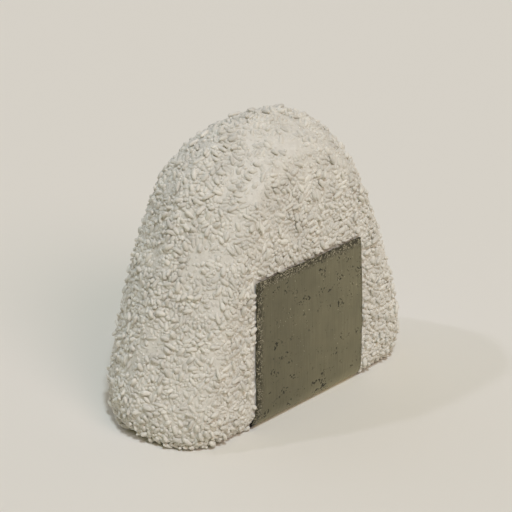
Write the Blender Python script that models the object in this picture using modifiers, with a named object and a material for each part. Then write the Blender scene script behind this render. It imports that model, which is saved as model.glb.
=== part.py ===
"""Onigiri: a hand-sized triangle of pressed rice with one strip of nori wrapped under it.

Run with: blender --background --python part.py
Metres, +Z up. The ball stands on its wide side, its flat faces look along -Y and +Y,
and the origin is on the floor under its middle.
"""

import math
import random

import bmesh
import bpy
from mathutils import Vector, noise

# The rice ball, from tip to tip of its grains
HEIGHT = 0.0784
WIDTH = 0.0945
THICKNESS = 0.0384
GRAIN_RELIEF = 0.0009  # how far the grains stand out of the pressed core
RELIEF_SPREAD = 0.0004  # how much one grain's height differs from the next
GRAIN_PITCH = 0.00262  # from one grain bump to the next
GRAIN_SHUFFLE = 0.22  # how far the bumps leave an even grid, as a share of the pitch
CORE_LIFT = 0.0008  # the core's underside, above the floor by a nori sheet and its gap
BASE_SINK = 0.0016  # the rounded form is pressed flat this far above its lowest point

# The core's outline, seen from the front
TIP_RADIUS = 0.0325
CORNER_RADIUS = 0.0105
SIDE_RADIUS = 0.2700  # the sides bow out slightly

# The flat face inside that outline, where the rounding over the rim starts
FACE_INSET_SIDE = 0.0115
FACE_INSET_TIP = 0.0080
FACE_INSET_BASE = 0.0047
FACE_TIP_RADIUS = 0.0207
FACE_CORNER_RADIUS = 0.0055
BASE_ROUNDING_DEPTH = 0.0070  # how far the rounding at the base reaches under the ball
CORNER_ROUNDING_DEPTH = 0.0120  # and how far it does at the very corners
TIGHT_HALF_WIDTH = 0.0215  # the rounding starts to widen here, just beside the nori
FACE_LEAN = 0.44  # share of the thickness lost at the tip
LEAN_START = 0.183  # share of the height where the faces start to lean in
LEAN_POWER = 5.0  # the lean gathers towards the tip
RIM_FULLNESS = 1.45  # 2 rounds the rim as an ellipse, less cuts it off a little

# The strip of nori
NORI_THICKNESS = 0.0005
NORI_GAP = 0.0003
NORI_HALF_WIDTH = 0.0193  # at its top ends
NORI_FLARE = 0.00135  # wider by this on each side at the foot
NORI_TOP = 0.0424  # height of both ends above the floor
NORI_FOOT_DEPTH = 0.0030  # its own bend at the foot, measured along the floor
NORI_WAVE = 0.00035  # depth of its slight waves
NORI_WAVE_LENGTH = 0.016
NORI_CELLS_ACROSS = 12
NORI_CELL_LENGTH = 0.0033
NORI_MARGIN = 0.0004  # bare core beside and above the strip

# Colours in linear light, and how fine the forms are
RICE_COLOUR = (0.66, 0.61, 0.50)
RICE_ROUGHNESS = 0.55
NORI_COLOUR = (0.105, 0.095, 0.060)
NORI_ROUGHNESS = 0.60
RIM_STEPS = 9
ARC_STEPS = (7, 14, 14)  # corner, side and tip arcs of half an outline
BASE_STEPS = 8
FOOT_STEPS = 5  # cells round the strip's bend at the foot
SAME_POINT = 0.00001
SEED = 11


def clear_scene():
    for item in list(bpy.data.objects):
        bpy.data.objects.remove(item, do_unlink=True)


def make_material(name, colour, roughness):
    material = bpy.data.materials.new(name)
    material.use_nodes = True
    shader = material.node_tree.nodes["Principled BSDF"]
    shader.inputs["Base Color"].default_value = (*colour, 1.0)
    shader.inputs["Roughness"].default_value = roughness
    shader.inputs["Metallic"].default_value = 0.0
    return material


def add_object(name, mesh, material, collection):
    item = bpy.data.objects.new(name, mesh)
    collection.objects.link(item)
    mesh.materials.append(material)
    return item


def arc(centre, radius, start, end, steps):
    """Points (x, z, slope) along an arc, without its first; slope is how far it looks up."""
    points = []
    for step in range(1, steps + 1):
        angle = start + (end - start) * step / steps
        way = (math.cos(angle), math.sin(angle))
        points.append((centre[0] + radius * way[0], centre[1] + radius * way[1], way[1]))
    return points


def half_outline(width, low, high, tip_radius, corner_radius, side_radius):
    """Right half of a rounded triangle, from the middle of its base to its tip.

    Each point is (x, z, slope), where slope is the upward part of the outward direction.
    The side is an arc that runs smoothly into the corner arc and the tip arc.
    """
    tip = (0.0, high - tip_radius)
    corner = (width / 2 - corner_radius, low + corner_radius)
    to_tip = side_radius - tip_radius
    to_corner = side_radius - corner_radius
    span = math.dist(tip, corner)
    along = (to_tip**2 - to_corner**2 + span**2) / (2 * span)
    across = math.sqrt(to_tip**2 - along**2)
    unit = ((corner[0] - tip[0]) / span, (corner[1] - tip[1]) / span)
    side = (
        tip[0] + unit[0] * along + unit[1] * across,
        tip[1] + unit[1] * along - unit[0] * across,
    )
    low_angle = math.atan2(corner[1] - side[1], corner[0] - side[0])
    high_angle = math.atan2(tip[1] - side[1], tip[0] - side[0])
    points = [(corner[0] * step / BASE_STEPS, low, -1.0) for step in range(BASE_STEPS + 1)]
    points += arc(corner, corner_radius, -math.pi / 2, low_angle, ARC_STEPS[0])
    points += arc(side, side_radius, low_angle, high_angle, ARC_STEPS[1])
    points += arc(tip, tip_radius, high_angle, math.pi / 2, ARC_STEPS[2])
    return points


def face_depth(height):
    """Distance of the core's flat faces from its middle plane, at this height."""
    start = LEAN_START * HEIGHT
    lean = max(0.0, (height - start) / (HEIGHT - start))
    return (THICKNESS / 2 - GRAIN_RELIEF) * (1.0 - FACE_LEAN * lean**LEAN_POWER)


def rim_shares(turn, flatness):
    """How far a rim point is towards the outline and towards the face, from the face (0) on.

    The base, where flatness is 1, keeps an ellipse, because it is pressed down by the weight.
    """
    fullness = RIM_FULLNESS + (2.0 - RIM_FULLNESS) * flatness
    angle = math.pi / 2 * (1.0 - turn)
    outward = max(0.0, math.cos(angle)) ** (2.0 / fullness)
    sideways = math.sin(angle) ** (2.0 / fullness)
    return outward, sideways


def base_rounding(x):
    """How far the rounding at the base reaches, which widens towards the corners."""
    widened = max(0.0, abs(x) - TIGHT_HALF_WIDTH) / (WIDTH / 2 - TIGHT_HALF_WIDTH)
    return BASE_ROUNDING_DEPTH + (CORNER_ROUNDING_DEPTH - BASE_ROUNDING_DEPTH) * widened


def core_rings():
    """Rings of (x, y, z) from the front face's edge, over the rim, to the back face's edge."""
    outer = half_outline(
        WIDTH - 2 * GRAIN_RELIEF,
        CORE_LIFT - BASE_SINK,
        HEIGHT - GRAIN_RELIEF,
        TIP_RADIUS - GRAIN_RELIEF,
        CORNER_RADIUS - GRAIN_RELIEF,
        SIDE_RADIUS,
    )
    inner = half_outline(
        WIDTH - 2 * FACE_INSET_SIDE,
        FACE_INSET_BASE,
        HEIGHT - FACE_INSET_TIP,
        FACE_TIP_RADIUS,
        FACE_CORNER_RADIUS,
        SIDE_RADIUS,
    )
    rings = []
    for step in range(RIM_STEPS + 1):
        half = []
        for (x_in, z_in, _), (x_out, z_out, slope) in zip(inner, outer):
            flatness = max(0.0, -slope) ** 2
            outward, sideways = rim_shares(step / RIM_STEPS, flatness)
            x = x_in + (x_out - x_in) * outward
            z = z_in + (z_out - z_in) * outward
            depth = face_depth(z)
            reach = depth + (base_rounding(x_out) - depth) * flatness
            half.append((x, depth - reach * (1 - sideways), max(z, CORE_LIFT)))
        rings.append(half)
    front = [[(x, -y, z) for x, y, z in half] for half in rings]
    back = [list(half) for half in reversed(rings)]
    return front + back


def whole_ring(half):
    """A closed ring from its right half: the two middle points are used once."""
    left = [(-x, y, z) for x, y, z in half[1:-1]]
    return list(half) + left[::-1]


def close_face(bm, verts, half_count):
    """Fill a face ring with level strips, so that the face bends only from base to tip."""
    count = len(verts)
    first_rise = BASE_STEPS + 1
    lowest = [verts[i % count] for i in range(-first_rise, first_rise + 1)]
    bm.faces.new(lowest)
    for i in range(first_rise, half_count - 2):
        bm.faces.new([verts[-i], verts[i], verts[i + 1], verts[-i - 1]])
    bm.faces.new([verts[2 - half_count], verts[half_count - 2], verts[half_count - 1]])


def build_core_mesh():
    """The pressed core as a loft from the front face, over the rim, to the back face."""
    bm = bmesh.new()
    halves = core_rings()
    rings = [[bm.verts.new(point) for point in whole_ring(half)] for half in halves]
    for near, far in zip(rings, rings[1:]):
        for i in range(len(near)):
            j = (i + 1) % len(near)
            bm.faces.new([near[i], near[j], far[j], far[i]])
    close_face(bm, rings[0], len(halves[0]))
    close_face(bm, rings[-1], len(halves[0]))
    bmesh.ops.remove_doubles(bm, verts=bm.verts, dist=SAME_POINT)
    bmesh.ops.recalc_face_normals(bm, faces=bm.faces)
    mesh = bpy.data.meshes.new("Pressed_Core")
    bm.to_mesh(mesh)
    bm.free()
    return mesh


def even_faces(mesh, pitch):
    """The same form in even square faces, one for each grain bump."""
    guide = bpy.data.objects.new("Core_Guide", mesh)
    bpy.context.scene.collection.objects.link(guide)
    remesh = guide.modifiers.new("Even_Faces", "REMESH")
    remesh.mode = "VOXEL"
    remesh.voxel_size = pitch
    bpy.context.view_layer.update()
    remeshed = guide.evaluated_get(bpy.context.evaluated_depsgraph_get())
    even = bpy.data.meshes.new_from_object(remeshed)
    bpy.data.objects.remove(guide)
    return even


def nori_half_width(height):
    return NORI_HALF_WIDTH + NORI_FLARE * (1.0 - min(height, NORI_TOP) / NORI_TOP)


def under_nori(point):
    """Whether a point of the core is behind or just beside the strip."""
    covered = abs(point.x) < nori_half_width(point.z) + NORI_MARGIN
    return covered and point.z < NORI_TOP + NORI_MARGIN


def press_grains(mesh):
    """Raise one bump of uneven height in each face that the nori leaves bare."""
    draw = random.Random(SEED)
    bm = bmesh.new()
    bm.from_mesh(mesh)
    bm.normal_update()
    shuffle = GRAIN_SHUFFLE * GRAIN_PITCH
    for vert in bm.verts:
        slide = Vector([draw.uniform(-shuffle, shuffle) for _ in range(3)])
        if not under_nori(vert.co):
            vert.co += slide - vert.normal * slide.dot(vert.normal)
        vert.co.z = max(vert.co.z, CORE_LIFT)
    bm.normal_update()
    bare = [face for face in bm.faces if not any(under_nori(vert.co) for vert in face.verts)]
    poked = bmesh.ops.poke(bm, faces=bare, offset=0.0, center_mode="MEAN")
    for vert in poked["verts"]:
        rise = GRAIN_RELIEF + draw.uniform(-RELIEF_SPREAD, RELIEF_SPREAD)
        vert.co += vert.normal * rise
        vert.co.z = max(vert.co.z, 0.0)
    bmesh.ops.triangulate(bm, faces=[face for face in bm.faces if len(face.verts) > 3])
    bm.to_mesh(mesh)
    bm.free()


def build_rice_ball(collection):
    mesh = even_faces(build_core_mesh(), GRAIN_PITCH)
    press_grains(mesh)
    mesh.name = "rice_ball"
    rice = make_material("Cooked_Rice", RICE_COLOUR, RICE_ROUGHNESS)
    add_object("rice_ball", mesh, rice, collection)


def wrap_path():
    """The strip's inner side as (y, z), from its front end down to the middle of the base."""
    points = []
    foot = FACE_INSET_BASE
    rise = NORI_TOP - foot
    cells = round(rise / NORI_CELL_LENGTH)
    for step in range(cells):
        z = NORI_TOP - rise * step / cells
        points.append((-face_depth(z) - NORI_GAP, z))
    for step in range(FOOT_STEPS + 1):
        angle = math.pi / 2 * step / FOOT_STEPS
        y = face_depth(foot) + NORI_GAP - NORI_FOOT_DEPTH * (1 - math.cos(angle))
        z = foot - (foot - NORI_THICKNESS) * math.sin(angle)
        points.append((-y, z))
    flat = -points[-1][0]
    cells = math.ceil(flat / NORI_CELL_LENGTH)
    points += [(-flat * (1 - step / cells), NORI_THICKNESS) for step in range(1, cells + 1)]
    return points


def build_nori_sheet(collection):
    """One thin sheet up the front, under the base and up the back, with slight waves."""
    front = wrap_path()
    path = front + [(-y, z) for y, z in front[-2::-1]]
    bm = bmesh.new()
    rows = []
    for y, z in path:
        fade = min(1.0, max(0.0, (z - FACE_INSET_BASE) / FACE_INSET_BASE))  # flat at the foot
        row = []
        for step in range(NORI_CELLS_ACROSS + 1):
            x = nori_half_width(z) * (2 * step / NORI_CELLS_ACROSS - 1)
            spot = Vector((x, y, z)) / NORI_WAVE_LENGTH
            wave = NORI_WAVE * fade * (1 + noise.noise(spot)) / 2
            row.append(bm.verts.new((x, y + math.copysign(wave, y), z)))
        rows.append(row)
    for near, far in zip(rows, rows[1:]):
        for i in range(NORI_CELLS_ACROSS):
            bm.faces.new([near[i], far[i], far[i + 1], near[i + 1]])
    bmesh.ops.triangulate(bm, faces=bm.faces)
    bm.normal_update()
    mesh = bpy.data.meshes.new("nori_sheet")
    bm.to_mesh(mesh)
    bm.free()
    nori = make_material("Dried_Nori", NORI_COLOUR, NORI_ROUGHNESS)
    sheet = add_object("nori_sheet", mesh, nori, collection)
    solid = sheet.modifiers.new("Sheet_Thickness", "SOLIDIFY")
    solid.thickness = NORI_THICKNESS
    solid.offset = 1.0
    solid.use_even_offset = True


def main():
    clear_scene()
    collection = bpy.data.collections.new("Onigiri")
    bpy.context.scene.collection.children.link(collection)
    build_rice_ball(collection)
    build_nori_sheet(collection)


main()
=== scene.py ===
import math

import bmesh
import bpy
import numpy as np
from mathutils import Matrix, Vector, noise


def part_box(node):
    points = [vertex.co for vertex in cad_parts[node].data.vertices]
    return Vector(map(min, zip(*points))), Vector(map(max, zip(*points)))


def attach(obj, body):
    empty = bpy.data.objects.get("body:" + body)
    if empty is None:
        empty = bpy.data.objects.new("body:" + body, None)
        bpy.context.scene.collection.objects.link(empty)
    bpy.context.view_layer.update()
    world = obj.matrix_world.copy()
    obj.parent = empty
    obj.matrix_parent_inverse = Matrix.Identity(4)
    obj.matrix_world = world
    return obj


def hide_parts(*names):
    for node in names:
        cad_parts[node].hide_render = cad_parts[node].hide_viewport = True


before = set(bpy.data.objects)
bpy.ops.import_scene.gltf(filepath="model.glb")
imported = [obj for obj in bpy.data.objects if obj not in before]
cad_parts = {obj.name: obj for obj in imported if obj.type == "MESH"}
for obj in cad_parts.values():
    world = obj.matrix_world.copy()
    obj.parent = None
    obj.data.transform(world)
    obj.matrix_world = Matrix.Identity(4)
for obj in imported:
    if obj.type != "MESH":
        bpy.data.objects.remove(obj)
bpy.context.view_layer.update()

mm = 0.001
riceLow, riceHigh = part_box("rice_ball")
noriLow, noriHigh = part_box("nori_sheet")
print("frame loaded")


# small helpers

def lerp(a, b, t):
    return a + (b - a) * t


def smoothStep(value, low, high):
    t = min(1.0, max(0.0, (value - low) / (high - low)))
    return t * t * (3 - 2 * t)


def addPiece(name, mesh, material, nodeName):
    piece = bpy.data.objects.new(name, mesh)
    bpy.context.scene.collection.objects.link(piece)
    mesh.materials.append(material)
    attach(piece, "root")
    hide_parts(nodeName)
    return piece


# shader groups shared by the materials

def newGroup(name, inputs, outputs):
    group = bpy.data.node_groups.new(name, "ShaderNodeTree")
    for label, kind, value in inputs:
        socket = group.interface.new_socket(label, in_out="INPUT", socket_type=kind)
        if value is not None:
            socket.default_value = value
    for label, kind in outputs:
        group.interface.new_socket(label, in_out="OUTPUT", socket_type=kind)
    start = group.nodes.new("NodeGroupInput")
    end = group.nodes.new("NodeGroupOutput")
    return group, start, end


def addNode(tree, kind, settings=None, values=None):
    node = tree.nodes.new(kind)
    for key, value in (settings or {}).items():
        setattr(node, key, value)
    for key, value in (values or {}).items():
        node.inputs[key].default_value = value
    return node


def makeMottleGroup():
    # soft uneven colour: a low colour, a high colour and how patchy they lie
    group, start, end = newGroup(
        "softMottle",
        [("Vector", "NodeSocketVector", None), ("Scale", "NodeSocketFloat", 300.0),
         ("Detail", "NodeSocketFloat", 3.0), ("Contrast", "NodeSocketFloat", 1.0),
         ("Low Color", "NodeSocketColor", (0.5, 0.5, 0.5, 1)),
         ("High Color", "NodeSocketColor", (0.6, 0.6, 0.6, 1))],
        [("Color", "NodeSocketColor"), ("Mask", "NodeSocketFloat")])
    link = group.links.new
    cloud = addNode(group, "ShaderNodeTexNoise", {"noise_dimensions": "3D"}, {"Roughness": 0.55})
    centre = addNode(group, "ShaderNodeMath", {"operation": "SUBTRACT"}, {1: 0.5})
    spread = addNode(group, "ShaderNodeMath", {"operation": "MULTIPLY"})
    back = addNode(group, "ShaderNodeMath", {"operation": "ADD", "use_clamp": True}, {1: 0.5})
    mix = addNode(group, "ShaderNodeMix", {"data_type": "RGBA"})
    link(start.outputs["Vector"], cloud.inputs["Vector"])
    link(start.outputs["Scale"], cloud.inputs["Scale"])
    link(start.outputs["Detail"], cloud.inputs["Detail"])
    link(cloud.outputs["Fac"], centre.inputs[0])
    link(centre.outputs[0], spread.inputs[0])
    link(start.outputs["Contrast"], spread.inputs[1])
    link(spread.outputs[0], back.inputs[0])
    link(back.outputs[0], mix.inputs["Factor"])
    link(start.outputs["Low Color"], mix.inputs["A"])
    link(start.outputs["High Color"], mix.inputs["B"])
    link(mix.outputs["Result"], end.inputs["Color"])
    link(back.outputs[0], end.inputs["Mask"])
    return group


def makeSpeckGroup():
    # small specks that lie in loose clusters
    group, start, end = newGroup(
        "clusteredSpecks",
        [("Vector", "NodeSocketVector", None), ("Speck Scale", "NodeSocketFloat", 1500.0),
         ("Cluster Scale", "NodeSocketFloat", 150.0), ("Speck Cut", "NodeSocketFloat", 0.62),
         ("Cluster Cut", "NodeSocketFloat", 0.55), ("Softness", "NodeSocketFloat", 0.05)],
        [("Mask", "NodeSocketFloat")])
    link = group.links.new
    specks = addNode(group, "ShaderNodeTexNoise", None, {"Detail": 1.5, "Roughness": 0.5})
    clusters = addNode(group, "ShaderNodeTexNoise", None, {"Detail": 1.0, "Roughness": 0.5})
    link(start.outputs["Vector"], specks.inputs["Vector"])
    link(start.outputs["Vector"], clusters.inputs["Vector"])
    link(start.outputs["Speck Scale"], specks.inputs["Scale"])
    link(start.outputs["Cluster Scale"], clusters.inputs["Scale"])
    masks = []
    for source, cut in ((specks, "Speck Cut"), (clusters, "Cluster Cut")):
        top = addNode(group, "ShaderNodeMath", {"operation": "ADD"})
        link(start.outputs[cut], top.inputs[0])
        link(start.outputs["Softness"], top.inputs[1])
        ramp = addNode(group, "ShaderNodeMapRange", {"interpolation_type": "SMOOTHSTEP"})
        link(source.outputs["Fac"], ramp.inputs["Value"])
        link(start.outputs[cut], ramp.inputs["From Min"])
        link(top.outputs[0], ramp.inputs["From Max"])
        masks.append(ramp)
    both = addNode(group, "ShaderNodeMath", {"operation": "MULTIPLY", "use_clamp": True})
    link(masks[0].outputs["Result"], both.inputs[0])
    link(masks[1].outputs["Result"], both.inputs[1])
    link(both.outputs[0], end.inputs["Mask"])
    return group


mottleGroup = makeMottleGroup()
speckGroup = makeSpeckGroup()


def placeGroup(tree, group, values=None):
    node = tree.nodes.new("ShaderNodeGroup")
    node.node_tree = group
    for key, value in (values or {}).items():
        node.inputs[key].default_value = value
    return node


def newMaterial(name, settings):
    material = bpy.data.materials.new(name)
    material.use_nodes = True
    tree = material.node_tree
    shader = tree.nodes["Principled BSDF"]
    for key, value in settings.items():
        shader.inputs[key].default_value = value
    return material, tree, shader


# the pressed body, the same form that the frame holds

ballShape = {
    "width": riceHigh.x - riceLow.x,
    "thickness": riceHigh.y - riceLow.y - 0.8 * mm,   # the frame's highest bumps stand this much proud
    "height": riceHigh.z - riceLow.z,
    "tipRadius": 32.5 * mm,
    "cornerRadius": 10.5 * mm,
    "sideRadius": 270 * mm,
    "faceInsetSide": 11.5 * mm,  # how far in from the outline the flat faces begin
    "faceInsetTip": 8.0 * mm,
    "faceInsetBase": 4.7 * mm,
    "faceTipRadius": 20.7 * mm,
    "faceCornerRadius": 5.5 * mm,
    "sink": 1.6 * mm,            # the rounded form is pressed flat this far above its lowest point
    "baseRounding": 7.0 * mm,
    "cornerRounding": 12.0 * mm,
    "tightTo": 21.5 * mm,        # the rounding at the base widens from here to the corners
    "lean": 0.44,                # how much thinner it is at the tip
    "leanStart": 0.183,          # the share of the height where that begins
    "leanPower": 5.0,
    "rimFullness": 1.45,         # 2 makes the rim a quarter round, 1 a straight bevel
    "arcSteps": (14, 48, 40),    # along the corner, the side and the tip
    "baseSteps": 26,
    "rimSteps": 20,
    "faceSteps": 26,
    "faceMiddle": 31.4 * mm,
    "weld": 0.01 * mm,
}


def arcPoints(centre, radius, start, end, steps):
    points = []
    for step in range(1, steps + 1):
        angle = lerp(start, end, step / steps)
        cos, sin = math.cos(angle), math.sin(angle)
        points.append((centre[0] + radius * cos, centre[1] + radius * sin, sin))
    return points


def halfOutline(width, low, high, tipRadius, cornerRadius, sideRadius):
    # right half of a rounded triangle as (x, z, upward part of the normal), from the base's middle to the tip
    tip = (0.0, high - tipRadius)
    corner = (width / 2 - cornerRadius, low + cornerRadius)
    span = math.dist(tip, corner)
    toTip = sideRadius - tipRadius
    toCorner = sideRadius - cornerRadius
    along = (toTip ** 2 - toCorner ** 2 + span ** 2) / (2 * span)
    across = math.sqrt(toTip ** 2 - along ** 2)
    unit = ((corner[0] - tip[0]) / span, (corner[1] - tip[1]) / span)
    side = (tip[0] + unit[0] * along + unit[1] * across, tip[1] + unit[1] * along - unit[0] * across)
    lowAngle = math.atan2(corner[1] - side[1], corner[0] - side[0])
    highAngle = math.atan2(tip[1] - side[1], tip[0] - side[0])
    steps = ballShape["arcSteps"]
    points = [(corner[0] * i / ballShape["baseSteps"], low, -1.0) for i in range(ballShape["baseSteps"] + 1)]
    points += arcPoints(corner, cornerRadius, -math.pi / 2, lowAngle, steps[0])
    points += arcPoints(side, sideRadius, lowAngle, highAngle, steps[1])
    points += arcPoints(tip, tipRadius, highAngle, math.pi / 2, steps[2])
    return points


def faceDepth(height, inset):
    start = ballShape["leanStart"] * ballShape["height"]
    lean = max(0.0, (height - start) / (ballShape["height"] - start))
    return (ballShape["thickness"] / 2 - inset) * (1 - ballShape["lean"] * lean ** ballShape["leanPower"])


def baseReach(x):
    widened = max(0.0, abs(x) - ballShape["tightTo"]) / (ballShape["width"] / 2 - ballShape["tightTo"])
    return lerp(ballShape["baseRounding"], ballShape["cornerRounding"], widened)


def bodyRings(inset, lift):
    s = ballShape
    outer = halfOutline(s["width"] - 2 * inset, lift - s["sink"], s["height"] - inset,
                        s["tipRadius"] - inset, s["cornerRadius"] - inset, s["sideRadius"])
    inner = halfOutline(s["width"] - 2 * s["faceInsetSide"], s["faceInsetBase"],
                        s["height"] - s["faceInsetTip"],
                        s["faceTipRadius"], s["faceCornerRadius"], s["sideRadius"])
    rings = []
    for step in range(s["rimSteps"] + 1):
        angle = math.pi / 2 * (1 - step / s["rimSteps"])
        ring = []
        for (xIn, zIn, _), (xOut, zOut, slope) in zip(inner, outer):
            flatness = max(0.0, -slope) ** 2
            fullness = lerp(s["rimFullness"], 2.0, flatness)
            outward = max(0.0, math.cos(angle)) ** (2 / fullness)
            sideways = math.sin(angle) ** (2 / fullness)
            z = lerp(zIn, zOut, outward)
            depth = faceDepth(z, inset)
            reach = lerp(depth, baseReach(xOut), flatness)
            ring.append((lerp(xIn, xOut, outward), depth - reach * (1 - sideways), max(z, lift)))
        rings.append(ring)
    front = [[(x, -y, z) for x, y, z in ring] for ring in rings]
    return front + rings[::-1]


def makeBodyMesh(name, inset, lift):
    # closed rings from the middle of the front face, out over the rim, to the middle of the back face
    rings = [ring + [(-x, y, z) for x, y, z in ring[1:-1]][::-1] for ring in bodyRings(inset, lift)]
    middle = ballShape["faceMiddle"]
    for side, edge in ((-1, rings[0]), (1, rings[-1])):
        for step in range(1, ballShape["faceSteps"] + 1):
            share = 1 - step / ballShape["faceSteps"]
            ring = []
            for x, _, z in edge:
                height = lerp(middle, z, share)
                ring.append((x * share, side * faceDepth(height, inset), height))
            if side < 0:
                rings.insert(0, ring)
            else:
                rings.append(ring)
    bm = bmesh.new()
    loops = [[bm.verts.new(point) for point in ring] for ring in rings]
    count = len(loops[0])
    for near, far in zip(loops, loops[1:]):
        for i in range(count):
            j = (i + 1) % count
            bm.faces.new([near[i], near[j], far[j], far[i]])
    bmesh.ops.remove_doubles(bm, verts=bm.verts, dist=ballShape["weld"])
    bmesh.ops.recalc_face_normals(bm, faces=bm.faces)
    mesh = bpy.data.meshes.new(name)
    bm.to_mesh(mesh)
    bm.free()
    return mesh


# the strip of nori: where it lies

strip = {
    "thickness": 0.5 * mm,
    "bedInset": 0.6 * mm,        # its inner side, below the grain tips
    "top": noriHigh.z,
    "halfWidthTop": (noriHigh.x - noriLow.x) / 2 - 1.35 * mm,
    "flare": 1.35 * mm,          # how much wider it is at the floor, on each side
    "spreadHeight": 4.5 * mm,    # on the left only this lowest part spreads, the rice hangs over it
    "bow": 0.45 * mm,            # the right edge bows out halfway up
    "wave": 0.35 * mm,
    "waveLength": 16 * mm,
    "crinkle": 0.07 * mm,
    "crinkleLength": 2.6 * mm,
    "fray": 0.22 * mm,           # how ragged its cut edges are
    "frayLength": 1.1 * mm,
    "lessShadedSide": 1.8 * mm,       # the dark rim starts this far in on the right, where the grains cast less painted shade
    "cell": 0.7 * mm,
    "footDepth": 3.0 * mm,       # its bend at the foot, measured along the floor
    "footSteps": 16,
    "sharpFrom": math.radians(50),
}


def stripReach(x, height):
    # how far the strip reaches from its middle line, on the side that x lies on
    rise = np.clip(height / strip["top"], 0, 1)
    right = strip["flare"] * (1 - rise) + strip["bow"] * np.sin(math.pi * rise)
    left = strip["flare"] * np.clip(1 - height / strip["spreadHeight"], 0, 1)
    return strip["halfWidthTop"] + np.where(x > 0, right, left)


def insideStrip(spots):
    # how far spots on the body lie inside the strip's outline; negative is outside
    side = stripReach(spots[:, 0], spots[:, 2]) - np.abs(spots[:, 0])
    return np.minimum(side, strip["top"] - spots[:, 2])


# rice core

core = {
    "inset": 0.95 * mm,          # below the grain tips
    "lift": 1.2 * mm,
    "relief": 0.30 * mm,
    "reliefLength": 1.8 * mm,
}


def makeCore(material):
    mesh = makeBodyMesh("riceCore", core["inset"], core["lift"])
    moves = [v.normal * noise.noise(v.co / core["reliefLength"]) * core["relief"] for v in mesh.vertices]
    for vertex, move in zip(mesh.vertices, moves):
        vertex.co += move
    mesh.shade_smooth()
    return addPiece("riceCore", mesh, material, "rice_ball")


# rice grains

grains = {
    # from the top down: depth range of the grains' tops, how many are tried, and their closeness,
    # where 1 keeps grains apart and less presses them into each other
    "layers": [
        (-0.70 * mm, -0.30 * mm, 1100, 1.00),
        (-0.38 * mm, 0.08 * mm, 5800, 0.95),
        (0.10 * mm, 0.24 * mm, 28000, 0.56),
        (0.17 * mm, 0.33 * mm, 26000, 0.41),
        (0.25 * mm, 0.40 * mm, 10500, 0.33),
    ],
    "heave": 0.60 * mm,          # slow rise and fall of the top layers
    "heaveLength": 5.5 * mm,
    "stand": 0.84,               # how far grains may stand up: 0 all lie flat, 1 any way round
    "sizeSpread": 0.12,
    "underStrip": 1.8 * mm,      # how far the pressed grains reach under the nori's edge
    "overEdge": 0.28 * mm,       # how far those beside the nori may reach over its edge
    "belowStrip": 0.08 * mm,     # gap between the nori and the grains under it
    "aboveFloor": 0.02 * mm,     # a grain's rounded ends stay this far over the floor,
    "pointsAbove": 0.01 * mm,    # and so far every point of it
    "girthPower": 2.6,           # how full a grain stays towards its ends
    "taper": 0.12,               # one end is a little thicker
    "bendMiddle": 0.4,           # keeps a bent grain on its own middle line
    "roundness": 2,              # subdivisions of the ball that a grain is made from
    "seed": 4,
    "kinds": {
        "grainsWhole": {"share": 0.21, "length": 3.00 * mm, "width": 1.26 * mm,
                        "flat": 0.88, "bend": 0.07, "blunt": 0.92},
        "grainsPlump": {"share": 0.25, "length": 2.70 * mm, "width": 1.40 * mm,
                        "flat": 0.90, "bend": 0.04, "blunt": 0.92},
        "grainsSlim": {"share": 0.16, "length": 3.30 * mm, "width": 1.12 * mm,
                       "flat": 0.86, "bend": 0.10, "blunt": 0.92},
        "grainsShort": {"share": 0.19, "length": 2.25 * mm, "width": 1.24 * mm,
                        "flat": 0.90, "bend": 0.03, "blunt": 0.88},
        "grainsBent": {"share": 0.19, "length": 3.00 * mm, "width": 1.20 * mm,
                       "flat": 0.88, "bend": 0.18, "blunt": 0.92},
    },
}


def pickSpots(mesh, count, draw):
    # even random spots on the body, with their outward directions
    mesh.calc_loop_triangles()
    place = np.empty(len(mesh.vertices) * 3)
    normal = np.empty(len(mesh.vertices) * 3)
    corners = np.empty(len(mesh.loop_triangles) * 3, dtype=np.int32)
    mesh.vertices.foreach_get("co", place)
    mesh.vertices.foreach_get("normal", normal)
    mesh.loop_triangles.foreach_get("vertices", corners)
    place, normal, corners = place.reshape(-1, 3), normal.reshape(-1, 3), corners.reshape(-1, 3)
    a, b, c = (place[corners[:, side]] for side in range(3))
    area = np.linalg.norm(np.cross(b - a, c - a), axis=1)
    picks = corners[draw.choice(len(corners), size=count, p=area / area.sum())]
    u = np.sqrt(draw.random(count))[:, None]
    v = draw.random(count)[:, None]
    shares = (1 - u, u * (1 - v), u * v)
    spots = sum(place[picks[:, side]] * shares[side] for side in range(3))
    ways = sum(normal[picks[:, side]] * shares[side] for side in range(3))
    return spots, ways / np.linalg.norm(ways, axis=1)[:, None]


def turnAbout(axis, vectors, angle):
    cos = np.cos(angle)[:, None]
    sin = np.sin(angle)[:, None]
    dot = np.sum(axis * vectors, axis=1)[:, None]
    return vectors * cos + np.cross(axis, vectors) * sin + axis * dot * (1 - cos)


def randomLie(ways, draw):
    # which way each grain points: any way round on the surface, more or less raised off it
    count = len(ways)
    up = np.where(np.abs(ways[:, 2:3]) < 0.9, [[0.0, 0.0, 1.0]], [[1.0, 0.0, 0.0]])
    flat = np.cross(up, ways)
    flat /= np.linalg.norm(flat, axis=1)[:, None]
    lie = turnAbout(ways, flat, draw.uniform(0, 2 * math.pi, count))
    raised = np.arcsin(draw.uniform(-grains["stand"], grains["stand"], count))
    return turnAbout(np.cross(ways, lie), lie, raised)


def isTaken(balls, codes, radius, cells, around, closeness):
    # whether a grain's balls come too near to those of the grains laid before
    for (x, y, z), code in zip(balls, codes):
        for step in around:
            for ox, oy, oz, other in cells.get(code + step, ()):
                if (ox - x) ** 2 + (oy - y) ** 2 + (oz - z) ** 2 < ((radius + other) * closeness) ** 2:
                    return True
    return False


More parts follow.
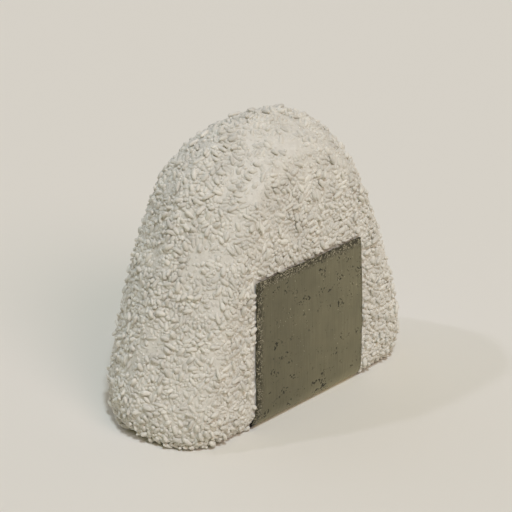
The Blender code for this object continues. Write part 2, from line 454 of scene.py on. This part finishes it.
def packGrains(bed, draw):
    # grains are dropped in from the top layer down, each stands for a row of three balls
    kinds = list(grains["kinds"].values())
    shares = [kind["share"] for kind in kinds]
    lengths = np.array([kind["length"] for kind in kinds])
    widths = np.array([kind["width"] for kind in kinds])
    cell = widths.max() * (1 + grains["sizeSpread"])
    stepY, stepZ = 1000, 1000000      # one number for each cell, counted along X, Y and Z
    around = [i + j * stepY + k * stepZ for i in (0, -1, 1) for j in (0, -1, 1) for k in (0, -1, 1)]
    cells = {}
    laid = []
    for low, high, tries, closeness in grains["layers"]:
        spots, ways = pickSpots(bed, tries, draw)
        kindOf = draw.choice(len(kinds), size=tries, p=shares)
        size = 1 + grains["sizeSpread"] * draw.uniform(-1, 1, tries)
        lie = randomLie(ways, draw)
        radius = widths[kindOf] * size / 2
        reach = lengths[kindOf] * size / 2 - radius
        rise = np.abs(np.sum(lie * ways, axis=1)) * reach + radius
        heave = np.array([noise.noise(Vector(spot) / grains["heaveLength"]) for spot in spots])
        drop = np.maximum(draw.uniform(low, high, tries) + heave * grains["heave"], low)
        middle = spots - ways * (rise + drop)[:, None]
        along = np.array([0, -1, 1])[None, :, None]
        balls = middle[:, None, :] + lie[:, None, :] * along * reach[:, None, None]
        lift = np.maximum(grains["aboveFloor"] - (balls[:, :, 2] - radius[:, None]).min(axis=1), 0)
        middle[:, 2] += lift
        balls[:, :, 2] += lift[:, None]
        # a ball within the nori's outline has to lie below the nori
        side = stripReach(balls[:, :, 0], balls[:, :, 2]) - np.abs(balls[:, :, 0])
        inside = np.minimum(side, strip["top"] - balls[:, :, 2]) + radius[:, None] - grains["overEdge"]
        height = np.einsum("nbi,ni->nb", balls - middle[:, None, :], ways)
        depth = drop[:, None] + rise[:, None] - height - radius[:, None]
        clear = ((inside < 0) | (depth > strip["bedInset"] + grains["belowStrip"])).all(axis=1)
        clear &= insideStrip(spots) < grains["underStrip"]
        keys = np.floor(balls / cell).astype(int)
        codes = (keys[:, :, 0] + keys[:, :, 1] * stepY + keys[:, :, 2] * stepZ).tolist()
        places, radii, clear = balls.tolist(), radius.tolist(), clear.tolist()
        for n in range(tries):
            if clear[n] and not isTaken(places[n], codes[n], radii[n], cells, around, closeness):
                for (x, y, z), code in zip(places[n], codes[n]):
                    cells.setdefault(code, []).append((x, y, z, radii[n]))
                laid.append((kindOf[n], size[n], middle[n], lie[n], ways[n]))
        print("layer from", round(low / mm, 2), "mm down:", len(laid), "grains so far")
    return [np.array(column) for column in zip(*laid)]


def makeGrainForm(kind):
    # one grain along X: a blunt, slightly flattened and bent oval
    bm = bmesh.new()
    bmesh.ops.create_icosphere(bm, subdivisions=grains["roundness"], radius=1.0)
    ball = np.array([vertex.co[:] for vertex in bm.verts])
    faces = np.array([[vertex.index for vertex in face.verts] for face in bm.faces])
    bm.free()
    along = np.sign(ball[:, 0]) * np.abs(ball[:, 0]) ** kind["blunt"]
    girth = np.sqrt(np.clip(1 - np.abs(along) ** grains["girthPower"], 0, 1))
    girth /= np.maximum(np.hypot(ball[:, 1], ball[:, 2]), 0.001)
    taper = 1 + grains["taper"] * along
    form = np.empty_like(ball)
    form[:, 0] = along * kind["length"] / 2
    form[:, 1] = ball[:, 1] * girth * taper * kind["width"] / 2
    form[:, 2] = ball[:, 2] * girth * taper * kind["width"] / 2 * kind["flat"]
    form[:, 1] += kind["bend"] * (along ** 2 - grains["bendMiddle"]) * kind["length"] / 2
    return form, faces, np.abs(along)


def layGrains(name, kind, size, middle, lie, ways, draw, material):
    form, faces, ends = makeGrainForm(kind)
    count = len(middle)
    across = np.cross(ways, lie)
    across /= np.linalg.norm(across, axis=1)[:, None]
    across = turnAbout(lie, across, draw.uniform(-math.pi, math.pi, count))
    third = np.cross(lie, across)
    directions = (lie, across, third)
    points = sum(form[None, :, axis:axis + 1] * way[:, None, :] for axis, way in enumerate(directions))
    points = points * size[:, None, None] + middle[:, None, :]
    points[:, :, 2] += np.maximum(grains["pointsAbove"] - points[:, :, 2].min(axis=1), 0)[:, None]

    perGrain = len(form)
    corners = (faces[None, :, :] + np.arange(count)[:, None, None] * perGrain).reshape(-1).astype(np.int32)
    mesh = bpy.data.meshes.new(name)
    mesh.vertices.add(count * perGrain)
    mesh.vertices.foreach_set("co", points.reshape(-1))
    mesh.loops.add(len(corners))
    mesh.loops.foreach_set("vertex_index", corners)
    mesh.polygons.add(len(corners) // 3)
    mesh.polygons.foreach_set("loop_start", np.arange(0, len(corners), 3, dtype=np.int32))
    mesh.update(calc_edges=True)
    mesh.shade_smooth()
    tint = mesh.attributes.new("grainTint", "FLOAT", "POINT")
    tint.data.foreach_set("value", np.repeat(draw.random(count), perGrain).astype(np.float32))
    tips = mesh.attributes.new("grainEnd", "FLOAT", "POINT")
    tips.data.foreach_set("value", np.tile(ends, count).astype(np.float32))
    print(name, count, "grains,", len(mesh.polygons), "triangles")
    return addPiece(name, mesh, material, "rice_ball")


# nori strip

def stripPath(inset):
    # the strip's inner side as (y, z), from its front end, under the base, to its back end
    foot = ballShape["faceInsetBase"]
    rise = strip["top"] - foot
    steps = round(rise / strip["cell"])
    half = []
    for step in range(steps):
        z = strip["top"] - rise * step / steps
        half.append((-faceDepth(z, inset), z))
    for step in range(strip["footSteps"] + 1):
        angle = math.pi / 2 * step / strip["footSteps"]
        y = faceDepth(foot, inset) - strip["footDepth"] * (1 - math.cos(angle))
        half.append((-y, foot - (foot - strip["thickness"]) * math.sin(angle)))
    flat = -half[-1][0]
    steps = round(flat / strip["cell"])
    half += [(-flat * (1 - step / steps), strip["thickness"]) for step in range(1, steps + 1)]
    return half + [(-y, z) for y, z in half[-2::-1]]


def makeStrip(material):
    path = stripPath(strip["bedInset"])
    foot = ballShape["faceInsetBase"]
    across = round(2 * strip["halfWidthTop"] / strip["cell"])
    lengths = [0.0]
    for before, here in zip(path, path[1:]):
        lengths.append(lengths[-1] + math.dist(before, here))
    bm = bmesh.new()
    sides = ([], [])                 # the bed side and the outer side
    rim = []                         # how far each spot is from the darker edges
    fold = []                        # and from the left corner of the foot
    for index, (y, z) in enumerate(path):
        ahead, behind = path[min(index + 1, len(path) - 1)], path[max(index - 1, 0)]
        run = Vector((0, ahead[0] - behind[0], ahead[1] - behind[1])).normalized()
        outward = Vector((0, -1, 0)) if index == 0 else run.cross(Vector((1, 0, 0)))
        free = smoothStep(z, foot, 2 * foot)      # pressed flat at the foot
        atEnd = index in (0, len(path) - 1)
        rows = ([], [])
        left, right = float(stripReach(-1, z)), float(stripReach(1, z))
        for step in range(across + 1):
            spot = Vector((lerp(-left, right, step / across), y, z))
            wave = strip["wave"] * (1 + noise.noise(spot / strip["waveLength"])) / 2
            wave += strip["crinkle"] * noise.noise(spot / strip["crinkleLength"])
            fray = strip["fray"] * noise.noise(spot / strip["frayLength"])
            moved = spot + outward * wave * free
            if step in (0, across):
                moved.x += math.copysign(fray, spot.x)
            if atEnd:
                moved.z += fray
            rows[0].append(bm.verts.new(moved))
            rows[1].append(bm.verts.new(moved + outward * strip["thickness"]))
            fromLeft = (left + right) * step / across
            fromEnd = min(lengths[index], lengths[-1] - lengths[index])
            rim.append(min(fromLeft, fromEnd, left + right - fromLeft + strip["lessShadedSide"]))
            fold.append(math.hypot(fromLeft, z))
        sides[0].append(rows[0])
        sides[1].append(rows[1])
    mapped = {}
    for rowIndex, length in enumerate(lengths):
        for step in range(across + 1):
            for side in sides:
                mapped[side[rowIndex][step]] = (step / across * 2 * strip["halfWidthTop"], length)
    inner, outer = sides
    last = len(path) - 1
    for i in range(last):
        for j in range(across):
            bm.faces.new([outer[i][j], outer[i + 1][j], outer[i + 1][j + 1], outer[i][j + 1]])
            bm.faces.new([inner[i][j + 1], inner[i + 1][j + 1], inner[i + 1][j], inner[i][j]])
        bm.faces.new([inner[i][0], inner[i + 1][0], outer[i + 1][0], outer[i][0]])
        bm.faces.new([outer[i][across], outer[i + 1][across], inner[i + 1][across], inner[i][across]])
    for j in range(across):
        bm.faces.new([inner[0][j], outer[0][j], outer[0][j + 1], inner[0][j + 1]])
        bm.faces.new([outer[last][j], inner[last][j], inner[last][j + 1], outer[last][j + 1]])
    layer = bm.loops.layers.uv.new("stripMap")
    for face in bm.faces:
        face.smooth = True
        for loop in face.loops:
            loop[layer].uv = mapped[loop.vert]
    mesh = bpy.data.meshes.new("noriStrip")
    bm.to_mesh(mesh)
    bm.free()
    for name, values in (("rimDistance", rim), ("foldDistance", fold)):
        attribute = mesh.attributes.new(name, "FLOAT", "POINT")
        attribute.data.foreach_set("value", np.repeat(np.array(values, dtype=np.float32), 2))
    mesh.set_sharp_from_angle(angle=strip["sharpFrom"])
    return addPiece("noriStrip", mesh, material, "nori_sheet")


# materials

riceLook = {
    "low": (0.665, 0.645, 0.585, 1),
    "high": (0.745, 0.728, 0.665, 1),
    "mottleScale": 900.0,
    "mottleContrast": 1.6,
    "grainShade": (0.92, 1.04),  # from the dullest to the palest grain
    "patchScale": 210.0,
    "patchShade": (0.89, 1.10),  # slow random patches, a little duller or paler
    "tipsFrom": 0.55,            # grains pale towards their ends from here
    "tipsPale": 0.5,
    "pitScale": 2600.0,
    "pitStrength": 0.15,
    "pitDepth": 0.05 * mm,
    "roughness": 0.50,
    "specular": 0.15,
    "ior": 1.42,
    "scatter": 0.4,
    "scatterRadius": (1.0, 0.96, 0.90),
    "scatterScale": 0.3 * mm,
}


def makeRiceMaterial():
    look = riceLook
    material, tree, shader = newMaterial("cookedRice", {
        "Roughness": look["roughness"],
        "Subsurface Weight": look["scatter"],
        "Subsurface Radius": look["scatterRadius"],
        "Subsurface Scale": look["scatterScale"],
        "IOR": look["ior"],
        "Specular IOR Level": look["specular"],
    })
    link = tree.links.new
    spot = addNode(tree, "ShaderNodeTexCoord")
    tint = addNode(tree, "ShaderNodeAttribute", {"attribute_name": "grainTint"})
    ends = addNode(tree, "ShaderNodeAttribute", {"attribute_name": "grainEnd"})
    mottle = placeGroup(tree, mottleGroup, {"Scale": look["mottleScale"], "Detail": 2.0,
                                            "Contrast": look["mottleContrast"],
                                            "Low Color": look["low"], "High Color": look["high"]})
    link(spot.outputs["Object"], mottle.inputs["Vector"])
    dull, pale = look["grainShade"]
    shade = addNode(tree, "ShaderNodeMapRange", None, {"To Min": dull, "To Max": pale})
    link(tint.outputs["Fac"], shade.inputs["Value"])
    patches = addNode(tree, "ShaderNodeTexNoise", None, {"Scale": look["patchScale"], "Detail": 1.5})
    link(spot.outputs["Object"], patches.inputs["Vector"])
    dull, pale = look["patchShade"]
    patchShade = addNode(tree, "ShaderNodeMapRange", None, {"From Min": 0.3, "From Max": 0.7,
                                                            "To Min": dull, "To Max": pale})
    link(patches.outputs["Fac"], patchShade.inputs["Value"])
    both = addNode(tree, "ShaderNodeMath", {"operation": "MULTIPLY"})
    link(shade.outputs["Result"], both.inputs[0])
    link(patchShade.outputs["Result"], both.inputs[1])
    shaded = addNode(tree, "ShaderNodeMix", {"data_type": "RGBA", "blend_type": "MULTIPLY"}, {"Factor": 1.0})
    link(mottle.outputs["Color"], shaded.inputs["A"])
    link(both.outputs[0], shaded.inputs["B"])
    tipMix = addNode(tree, "ShaderNodeMix", {"data_type": "RGBA"}, {"B": look["high"]})
    tipMask = addNode(tree, "ShaderNodeMapRange", None, {"From Min": look["tipsFrom"], "From Max": 1.0,
                                                         "To Max": look["tipsPale"]})
    link(ends.outputs["Fac"], tipMask.inputs["Value"])
    link(tipMask.outputs["Result"], tipMix.inputs["Factor"])
    link(shaded.outputs["Result"], tipMix.inputs["A"])
    link(tipMix.outputs["Result"], shader.inputs["Base Color"])
    pits = addNode(tree, "ShaderNodeTexNoise", None, {"Scale": look["pitScale"], "Detail": 2.0})
    link(spot.outputs["Object"], pits.inputs["Vector"])
    bump = addNode(tree, "ShaderNodeBump", None,
                   {"Strength": look["pitStrength"], "Distance": look["pitDepth"]})
    link(pits.outputs["Fac"], bump.inputs["Height"])
    link(bump.outputs["Normal"], shader.inputs["Normal"])
    return material


coreLook = {
    "low": (0.66, 0.64, 0.58, 1),
    "high": (0.76, 0.74, 0.68, 1),
    "mottleScale": 800.0,
    "mottleContrast": 2.0,
    "roughness": 0.6,
    "specular": 0.3,
    "bumpStrength": 0.6,
    "bumpDepth": 0.2 * mm,
}


def makeCoreMaterial():
    look = coreLook
    material, tree, shader = newMaterial("pressedRice", {"Roughness": look["roughness"],
                                                         "Specular IOR Level": look["specular"]})
    link = tree.links.new
    spot = addNode(tree, "ShaderNodeTexCoord")
    mottle = placeGroup(tree, mottleGroup, {"Scale": look["mottleScale"], "Detail": 3.0,
                                            "Contrast": look["mottleContrast"],
                                            "Low Color": look["low"], "High Color": look["high"]})
    link(spot.outputs["Object"], mottle.inputs["Vector"])
    link(mottle.outputs["Color"], shader.inputs["Base Color"])
    bump = addNode(tree, "ShaderNodeBump", None,
                   {"Strength": look["bumpStrength"], "Distance": look["bumpDepth"]})
    link(mottle.outputs["Mask"], bump.inputs["Height"])
    link(bump.outputs["Normal"], shader.inputs["Normal"])
    return material


noriLook = {
    "low": (0.114, 0.107, 0.063, 1),
    "high": (0.190, 0.177, 0.110, 1),
    "dark": (0.022, 0.020, 0.011, 1),
    # the rim colour is partly the darker cut edge and partly painted shade from the grains hanging over the
    # edges
    "rim": (0.044, 0.039, 0.020, 1),
    "pale": (0.37, 0.34, 0.24, 1),
    "mottleScale": 150.0,
    "mottleContrast": 1.3,
    "lineStretch": (2600.0, 110.0, 1.0),   # faint pressed lines along the strip
    "lineShade": (0.90, 1.10),
    "paintedSideShading": (0.90, 1.22),   # painted shading, from the darker left edge to the paler right
    "paintedFootLight": [              # painted bounce light from the floor, paler where it turns to the foot and over its contact shade: from, to and how much
        (0.7 * mm, 5.0 * mm, 1.70),
        (0.2 * mm, 1.6 * mm, 2.10),
    ],
    # the dark rim here is partly the darker cut edge and partly painted shade from the overhanging grains
    "rimFrom": 0.60 * mm,        # the edges are dark to here,
    "rimTo": 2.70 * mm,          # and plain sheet from here
    "rimRagged": 2.8 * mm,
    "raggedScale": 1500.0,
    "foldFrom": 1.6 * mm,        # painted shadow round the left corner of the foot, where the strip bends under the rice
    "foldTo": 2.6 * mm,
    "foldShade": 0.05,
    "specks": [                  # loose clusters of dark specks, and a few pale ones
        {"tone": "dark", "place": (0.0, 0.0, 0.0),
         "size": 1500.0, "clusters": 300.0, "cuts": (0.52, 0.57, 0.10)},
        {"tone": "dark", "place": (0.7, 0.4, 0.1),
         "size": 1900.0, "clusters": 300.0, "cuts": (0.62, 0.53, 0.12)},
        {"tone": "pale", "place": (0.3, 0.2, 0.2),
         "size": 1700.0, "clusters": 120.0, "cuts": (0.68, 0.56, 0.06)},
    ],
    "dust": {                    # pale specks in the rim
        "size": 3200.0, "clusters": 900.0, "cuts": (0.50, 0.40, 0.08)},
    "roughness": (0.44, 0.62),
    "specular": 0.5,
    "ior": 1.45,
    "fibreScale": 1400.0,
    "bumpStrength": 0.35,
    "bumpDepth": 0.06 * mm,
}


def noriShade(tree, value, source, low, high, dim, bright):
    # a plain factor that goes from dim to bright as the source goes from low to high
    node = addNode(tree, "ShaderNodeMapRange", {"interpolation_type": "SMOOTHSTEP"},
                   {"From Min": low, "From Max": high, "To Min": dim, "To Max": bright})
    tree.links.new(source, node.inputs["Value"])
    joined = addNode(tree, "ShaderNodeMath", {"operation": "MULTIPLY"})
    tree.links.new(value, joined.inputs[0])
    tree.links.new(node.outputs["Result"], joined.inputs[1])
    return joined.outputs[0]


def placeSpecks(tree, vector, specks):
    speckCut, clusterCut, softness = specks["cuts"]
    node = placeGroup(tree, speckGroup, {"Speck Scale": specks["size"], "Speck Cut": speckCut,
                                         "Cluster Scale": specks["clusters"], "Cluster Cut": clusterCut,
                                         "Softness": softness})
    tree.links.new(vector, node.inputs["Vector"])
    return node.outputs["Mask"]


def makeNoriMaterial():
    look = noriLook
    material, tree, shader = newMaterial("driedNori", {"Specular IOR Level": look["specular"],
                                                       "IOR": look["ior"]})
    link = tree.links.new
    spot = addNode(tree, "ShaderNodeTexCoord")
    mottle = placeGroup(tree, mottleGroup, {"Scale": look["mottleScale"], "Detail": 5.0,
                                            "Contrast": look["mottleContrast"],
                                            "Low Color": look["low"], "High Color": look["high"]})
    link(spot.outputs["Object"], mottle.inputs["Vector"])

    stretch = addNode(tree, "ShaderNodeMapping", None, {"Scale": look["lineStretch"]})
    link(spot.outputs["UV"], stretch.inputs["Vector"])
    lines = addNode(tree, "ShaderNodeTexNoise", None, {"Scale": 1.0, "Detail": 2.0})
    link(stretch.outputs["Vector"], lines.inputs["Vector"])
    dim, bright = look["lineShade"]
    lineShade = addNode(tree, "ShaderNodeMapRange", None, {"From Min": 0.3, "From Max": 0.7,
                                                           "To Min": dim, "To Max": bright})
    link(lines.outputs["Fac"], lineShade.inputs["Value"])

    # painted light: paler towards the right side, and painted floor bounce where it turns to the foot
    across = addNode(tree, "ShaderNodeSeparateXYZ")
    link(spot.outputs["UV"], across.inputs[0])
    place = addNode(tree, "ShaderNodeSeparateXYZ")
    link(spot.outputs["Object"], place.inputs[0])
    dim, bright = look["paintedSideShading"]
    level = noriShade(tree, lineShade.outputs["Result"], across.outputs["X"],
                      0.0, 2 * strip["halfWidthTop"], dim, bright)
    # painted floor bounce light towards the foot
    for low, high, paler in look["paintedFootLight"]:
        level = noriShade(tree, level, place.outputs["Z"], low, high, paler, 1.0)
    shaded = addNode(tree, "ShaderNodeMix", {"data_type": "RGBA", "blend_type": "MULTIPLY"}, {"Factor": 1.0})
    link(mottle.outputs["Color"], shaded.inputs["A"])
    link(level, shaded.inputs["B"])

    # dark ragged rim along the edges, weaker on the right: partly the darker cut edge, partly painted shade
    # where the grains overhang the top and left edges
    edge = addNode(tree, "ShaderNodeAttribute", {"attribute_name": "rimDistance"})
    ragged = addNode(tree, "ShaderNodeTexNoise", None,
                     {"Scale": look["raggedScale"], "Detail": 3.0, "Roughness": 0.7})
    link(spot.outputs["Object"], ragged.inputs["Vector"])
    shift = addNode(tree, "ShaderNodeMapRange", None,
                    {"To Min": -look["rimRagged"], "To Max": look["rimRagged"]})
    link(ragged.outputs["Fac"], shift.inputs["Value"])
    reach = addNode(tree, "ShaderNodeMath", {"operation": "ADD"})
    link(edge.outputs["Fac"], reach.inputs[0])
    link(shift.outputs["Result"], reach.inputs[1])
    rimAndShadeMask = addNode(tree, "ShaderNodeMapRange", {"interpolation_type": "SMOOTHSTEP"},
                      {"From Min": look["rimFrom"], "From Max": look["rimTo"], "To Min": 1.0, "To Max": 0.0})
    link(reach.outputs[0], rimAndShadeMask.inputs["Value"])
    rimAndShaded = addNode(tree, "ShaderNodeMix", {"data_type": "RGBA"}, {"B": look["rim"]})
    link(rimAndShadeMask.outputs["Result"], rimAndShaded.inputs["Factor"])
    link(shaded.outputs["Result"], rimAndShaded.inputs["A"])

    color = rimAndShaded.outputs["Result"]
    for specks in look["specks"]:
        moved = addNode(tree, "ShaderNodeMapping", None, {"Location": specks["place"]})
        link(spot.outputs["Object"], moved.inputs["Vector"])
        laid = addNode(tree, "ShaderNodeMix", {"data_type": "RGBA"}, {"B": look[specks["tone"]]})
        link(placeSpecks(tree, moved.outputs["Vector"], specks), laid.inputs["Factor"])
        link(color, laid.inputs["A"])
        color = laid.outputs["Result"]
    inRim = addNode(tree, "ShaderNodeMath", {"operation": "MULTIPLY"})
    link(placeSpecks(tree, spot.outputs["Object"], look["dust"]), inRim.inputs[0])
    link(rimAndShadeMask.outputs["Result"], inRim.inputs[1])
    dusted = addNode(tree, "ShaderNodeMix", {"data_type": "RGBA"}, {"B": look["pale"]})
    link(inRim.outputs[0], dusted.inputs["Factor"])
    link(color, dusted.inputs["A"])

    # painted shadow in the fold at the left corner of the foot
    corner = addNode(tree, "ShaderNodeAttribute", {"attribute_name": "foldDistance"})
    foldShadow = addNode(tree, "ShaderNodeMapRange", {"interpolation_type": "SMOOTHSTEP"},
                     {"From Min": look["foldFrom"], "From Max": look["foldTo"],
                      "To Min": look["foldShade"], "To Max": 1.0})
    link(corner.outputs["Fac"], foldShadow.inputs["Value"])
    ended = addNode(tree, "ShaderNodeMix", {"data_type": "RGBA", "blend_type": "MULTIPLY"}, {"Factor": 1.0})
    link(dusted.outputs["Result"], ended.inputs["A"])
    link(foldShadow.outputs["Result"], ended.inputs["B"])
    link(ended.outputs["Result"], shader.inputs["Base Color"])

    smooth, rough = look["roughness"]
    gloss = addNode(tree, "ShaderNodeMapRange", None, {"To Min": smooth, "To Max": rough})
    link(mottle.outputs["Mask"], gloss.inputs["Value"])
    link(gloss.outputs["Result"], shader.inputs["Roughness"])
    fibres = addNode(tree, "ShaderNodeTexNoise", None, {"Scale": look["fibreScale"], "Detail": 3.0})
    link(spot.outputs["Object"], fibres.inputs["Vector"])
    height = addNode(tree, "ShaderNodeMath", {"operation": "ADD"})
    link(fibres.outputs["Fac"], height.inputs[0])
    link(lines.outputs["Fac"], height.inputs[1])
    bump = addNode(tree, "ShaderNodeBump", None,
                   {"Strength": look["bumpStrength"], "Distance": look["bumpDepth"]})
    link(height.outputs[0], bump.inputs["Height"])
    link(bump.outputs["Normal"], shader.inputs["Normal"])
    return material


# floor, light and camera

studio = {
    "floorColor": (0.80, 0.78, 0.72, 1),
    "floorDim": 0.992,           # how much its duller patches fall short of that colour
    "floorPatches": 9.0,
    "floorHalfWidth": 4.0,
    "floorRoughness": 0.9,
    "floorSpecular": 0.1,
    "worldColor": (0.209, 0.182, 0.070, 1),
    "backdropColor": (0.67, 0.64, 0.57, 1),   # what is seen beyond the floor
    "lights": {                  # compass angle from +X, height over the floor, softness, colour and strength
        "mainLight": {"around": -121, "up": 60, "soft": 8, "color": (0.80, 0.90, 1.0), "strength": 1.47},
        "warmLight": {"around": -100, "up": 41, "soft": 28, "color": (1.0, 0.77, 0.77), "strength": 0.807},
        "backLight": {"around": 142, "up": 54, "soft": 3, "color": (0.81, 0.80, 1.0), "strength": 0.285},
        "rightSky": {"around": 0, "up": 30, "soft": 75, "color": (1.0, 0.83, 0.89), "strength": 0.277},
        "backSky": {"around": 90, "up": 30, "soft": 75, "color": (0.50, 0.61, 1.0), "strength": 0.497},
    },
}


def compassDirection(around, up):
    around, up = math.radians(around), math.radians(up)
    return Vector((math.cos(around) * math.cos(up), math.sin(around) * math.cos(up), math.sin(up)))


def makeStudio():
    scene = bpy.context.scene
    scene.view_settings.view_transform = "Standard"
    world = bpy.data.worlds.new("studio")
    world.use_nodes = True
    sky = world.node_tree
    seen = addNode(sky, "ShaderNodeLightPath")
    mix = addNode(sky, "ShaderNodeMix", {"data_type": "RGBA"},
                  {"A": studio["worldColor"], "B": studio["backdropColor"]})
    sky.links.new(seen.outputs["Is Camera Ray"], mix.inputs["Factor"])
    sky.links.new(mix.outputs["Result"], sky.nodes["Background"].inputs["Color"])
    scene.world = world

    bm = bmesh.new()
    bmesh.ops.create_grid(bm, x_segments=1, y_segments=1, size=studio["floorHalfWidth"])
    mesh = bpy.data.meshes.new("floor")
    bm.to_mesh(mesh)
    bm.free()
    floor = bpy.data.objects.new("floor", mesh)
    scene.collection.objects.link(floor)
    material, tree, shader = newMaterial("paleFloor", {"Roughness": studio["floorRoughness"],
                                                       "Specular IOR Level": studio["floorSpecular"]})
    spot = addNode(tree, "ShaderNodeTexCoord")
    low = tuple(channel * studio["floorDim"] for channel in studio["floorColor"][:3]) + (1,)
    mottle = placeGroup(tree, mottleGroup, {"Scale": studio["floorPatches"], "Detail": 2.0, "Contrast": 1.0,
                                            "Low Color": low, "High Color": studio["floorColor"]})
    tree.links.new(spot.outputs["Object"], mottle.inputs["Vector"])
    tree.links.new(mottle.outputs["Color"], shader.inputs["Base Color"])
    mesh.materials.append(material)

    for name, values in studio["lights"].items():
        light = bpy.data.lights.new(name, "SUN")
        light.energy = values["strength"]
        light.color = values["color"]
        light.angle = math.radians(values["soft"])
        lamp = bpy.data.objects.new(name, light)
        towards = compassDirection(values["around"], values["up"])
        lamp.location = towards
        lamp.rotation_euler = towards.to_track_quat("Z", "Y").to_euler()
        scene.collection.objects.link(lamp)


cameraSet = {
    "azimuth": math.radians(-45.5),
    "elevation": math.radians(25.59),
    "distance": 551 * mm,
    "lens": 147.6,
    "filmWidth": 36,
    "nearest": 10 * mm,
    "aimHeight": 38.4 * mm,
    "shiftRight": -0.23 * mm,    # where the view's middle lies, from the ball's middle
    "shiftUp": -1.12 * mm,
}


def makeCamera():
    azimuth, elevation = cameraSet["azimuth"], cameraSet["elevation"]
    back = Vector((math.sin(azimuth) * math.cos(elevation), -math.cos(azimuth) * math.cos(elevation),
                   math.sin(elevation)))
    right = Vector((math.cos(azimuth), math.sin(azimuth), 0))
    up = back.cross(right)
    target = Vector((0, 0, cameraSet["aimHeight"]))
    target += right * cameraSet["shiftRight"] + up * cameraSet["shiftUp"]
    data = bpy.data.cameras.new("camera")
    data.lens = cameraSet["lens"]
    data.sensor_fit = "HORIZONTAL"
    data.sensor_width = cameraSet["filmWidth"]
    data.clip_start = cameraSet["nearest"]
    camera = bpy.data.objects.new("camera", data)
    camera.location = target + back * cameraSet["distance"]
    camera.rotation_euler = Matrix((right, up, back)).transposed().to_euler()
    bpy.context.scene.collection.objects.link(camera)
    bpy.context.scene.camera = camera


# build

makeCamera()
makeStudio()
print("studio made")
riceMaterial = makeRiceMaterial()
makeCore(makeCoreMaterial())
print("core made")
makeStrip(makeNoriMaterial())
print("nori made")
draw = np.random.default_rng(grains["seed"])
bed = makeBodyMesh("grainBed", 0.0, 0.0)
kindOf, size, middle, lie, ways = packGrains(bed, draw)
bpy.data.meshes.remove(bed)
for number, (name, kind) in enumerate(grains["kinds"].items()):
    own = kindOf == number
    layGrains(name, kind, size[own], middle[own], lie[own], ways[own], draw, riceMaterial)
